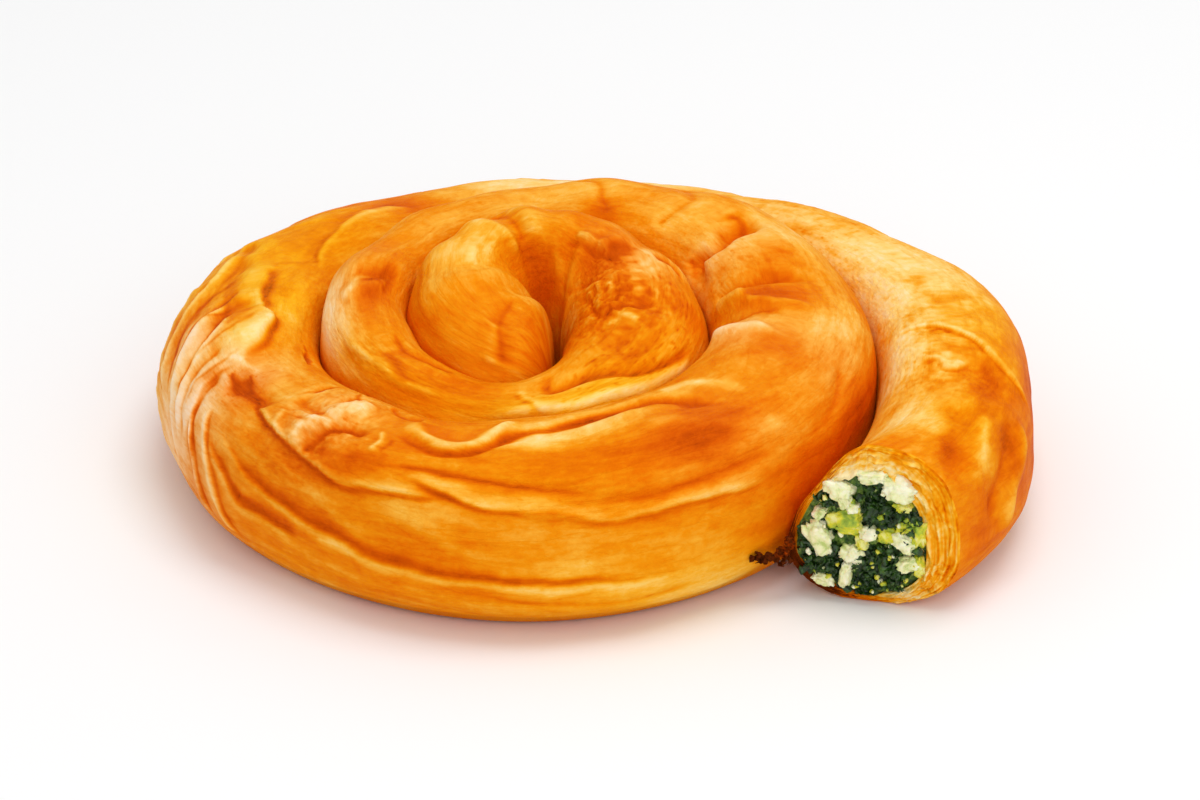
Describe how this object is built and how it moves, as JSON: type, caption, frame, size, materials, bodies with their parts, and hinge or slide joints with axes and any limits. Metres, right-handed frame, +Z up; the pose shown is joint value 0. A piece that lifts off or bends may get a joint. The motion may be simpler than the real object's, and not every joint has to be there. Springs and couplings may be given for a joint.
{
  "type": "spinach and cheese swirl",
  "caption": "Coiled filo pastry roll with a spinach and white cheese filling that shows at its cut outer end; a baked savoury pastry that lies flat.",
  "frame": {"origin": "centre of the bounding box on the surface that the pastry lies on", "axes": "+Z up, +X to the right when the cut end faces the viewer, +Y away from the viewer"},
  "size_m": [0.1556, 0.143, 0.0401],
  "materials": {
    "baked_filo": "golden brown brushed filo with a low satin sheen",
    "spinach_and_cheese": "moist dark green leaf with white crumbled cheese"
  },
  "bodies": {
    "root": {"pastry_coil": "baked_filo", "filling": "spinach_and_cheese"}
  },
  "joints": []
}
